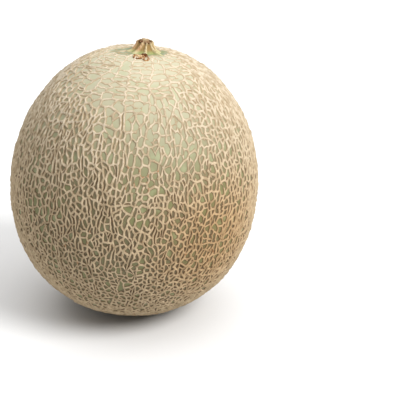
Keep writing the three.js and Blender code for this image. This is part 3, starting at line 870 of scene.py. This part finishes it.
torn_cork = bpy.data.materials.new("rusty_torn_cork")
torn_cork.use_nodes = True
tree = torn_cork.node_tree
tree.nodes.clear()
place = add(tree, "ShaderNodeTexCoord", {}, "Object")
paleness = add(tree, "ShaderNodeAttribute", {}, "Fac", attribute_name="pale")
blotches = add(tree, "ShaderNodeTexNoise", {"Vector": place, "Scale": 1 / BLOTCH_SIZE, "Detail": 3})
pits = add(tree, "ShaderNodeTexNoise", {"Vector": place, "Scale": 1 / PIT_SIZE, "Detail": 4,
                                        "Roughness": 0.7})
uneven = add(tree, "ShaderNodeMath", {0: blotches, 1: NOISE_MIDDLE}, operation="SUBTRACT")
tone = add(tree, "ShaderNodeMath", {0: uneven, 1: BLOTCHINESS, 2: paleness},
           operation="MULTIPLY_ADD")
rusted = add(tree, "ShaderNodeMapRange", {"Value": tone, "From Min": RUST_TONES[0],
                                          "From Max": RUST_TONES[1]})
paled = add(tree, "ShaderNodeMapRange", {"Value": tone, "From Min": CRUMB_TONES[0],
                                         "From Max": CRUMB_TONES[1]})
rust = add(tree, "ShaderNodeMix", {"Factor": rusted, "A": RUST_DARK, "B": RUST_BROWN},
           data_type="RGBA")
rust = add(tree, "ShaderNodeMix", {"Factor": paled, "A": rust, "B": CRUMB_CREAM}, data_type="RGBA")
relief = add(tree, "ShaderNodeBump", {"Height": pits, "Distance": PIT_SIZE / 2,
                                      "Strength": PIT_RELIEF})
surface = add(tree, "ShaderNodeBsdfPrincipled", {"Base Color": rust, "Roughness": TORN_ROUGHNESS,
                                                 "Specular IOR Level": TORN_SHEEN,
                                                 "Normal": relief})
add(tree, "ShaderNodeOutputMaterial", {"Surface": surface})
tear_mesh.materials.append(torn_cork)

# ------------------------------------------------------------------------------------------------
# The floor: a wide sheet of plain pale paper that the fruit stands on. It is coated and matt, so it
# takes a soft shadow and shows no gloss.
# ------------------------------------------------------------------------------------------------

FLOOR_REACH = 4.0
PAPER = "#dfdfdf"
PAPER_ROUGHNESS = 0.6

sheet = bmesh.new()
bmesh.ops.create_grid(sheet, x_segments=1, y_segments=1, size=FLOOR_REACH)
floor_mesh = bpy.data.meshes.new("floor")
sheet.to_mesh(floor_mesh)
sheet.free()
floor = bpy.data.objects.new("floor", floor_mesh)
bpy.context.scene.collection.objects.link(floor)

paper = bpy.data.materials.new("matt_coated_paper")
paper.use_nodes = True
tree = paper.node_tree
tree.nodes.clear()
surface = add(tree, "ShaderNodeBsdfPrincipled", {"Base Color": PAPER, "Roughness": PAPER_ROUGHNESS})
add(tree, "ShaderNodeOutputMaterial", {"Surface": surface})
floor_mesh.materials.append(paper)

# ------------------------------------------------------------------------------------------------
# The light: a white studio room with three wide soft lamps, from overhead, from the right front
# and, weakly, from behind on the left. The walls light the fruit less than they show behind it.
# ------------------------------------------------------------------------------------------------

WALL_WHITE = "#ffffff"
WALL_LIGHT = 0.27  # how strongly the walls light the fruit, as a share of how bright they show
# Each lamp: the direction it stands in, how strong it is, and how wide it looks from the fruit
LAMPS = {
    "overhead": (Vector((0.2, 0.1, 1)), 2.55, math.radians(100)),
    "key": (Vector((0.75, -0.5, 0.8)), 3.1, math.radians(30)),
    "rim": (Vector((-0.7, 0.65, 0.45)), 0.8, math.radians(80)),
}

room = bpy.data.worlds.new("studio")
room.use_nodes = True
tree = room.node_tree
tree.nodes.clear()
seen = add(tree, "ShaderNodeLightPath", {}, "Is Camera Ray")
strength = add(tree, "ShaderNodeMapRange", {"Value": seen, "To Min": WALL_LIGHT, "To Max": 1.0})
walls = add(tree, "ShaderNodeBackground", {"Color": WALL_WHITE, "Strength": strength})
add(tree, "ShaderNodeOutputWorld", {"Surface": walls})
bpy.context.scene.world = room
bpy.context.scene.view_settings.view_transform = "Standard"
for name, (stand, power, width) in LAMPS.items():
    light = bpy.data.lights.new(name, "SUN")
    light.energy = power
    light.angle = width
    lamp = bpy.data.objects.new(name, light)
    bpy.context.scene.collection.objects.link(lamp)
    lamp.rotation_euler = stand.to_track_quat("Z", "Y").to_euler()

# ------------------------------------------------------------------------------------------------
# The camera: it stands well back and looks down on the fruit, which is to the left of the middle of
# the picture, so the stem shows before the far rim of the top.
# ------------------------------------------------------------------------------------------------

PICTURE_WIDTH = 400  # in pixels
PIXELS_PER_MM = 1.636
FRUIT_IN_PICTURE = Vector((134.4, 182.3))  # where the middle of the body shows, right and down
CAMERA_ELEVATION = math.radians(25)
CAMERA_DISTANCE = 1.2
SENSOR_WIDTH = 36  # in millimetres

camera_data = bpy.data.cameras.new("camera")
camera_data.sensor_width = SENSOR_WIDTH
camera_data.lens = SENSOR_WIDTH * CAMERA_DISTANCE / (PICTURE_WIDTH / PIXELS_PER_MM * MM)
camera = bpy.data.objects.new("camera", camera_data)
bpy.context.scene.collection.objects.link(camera)
bpy.context.scene.camera = camera
turned = Matrix.Rotation(math.pi / 2 - CAMERA_ELEVATION, 3, "X")
right, up, back = (turned @ Vector(axis) for axis in ((1, 0, 0), (0, 1, 0), (0, 0, 1)))
off_middle = (FRUIT_IN_PICTURE - Vector((PICTURE_WIDTH, PICTURE_WIDTH)) / 2) / PIXELS_PER_MM * MM
aim = standing.translation - right * off_middle.x + up * off_middle.y
camera.matrix_world = Matrix.Translation(aim + back * CAMERA_DISTANCE) @ turned.to_4x4()
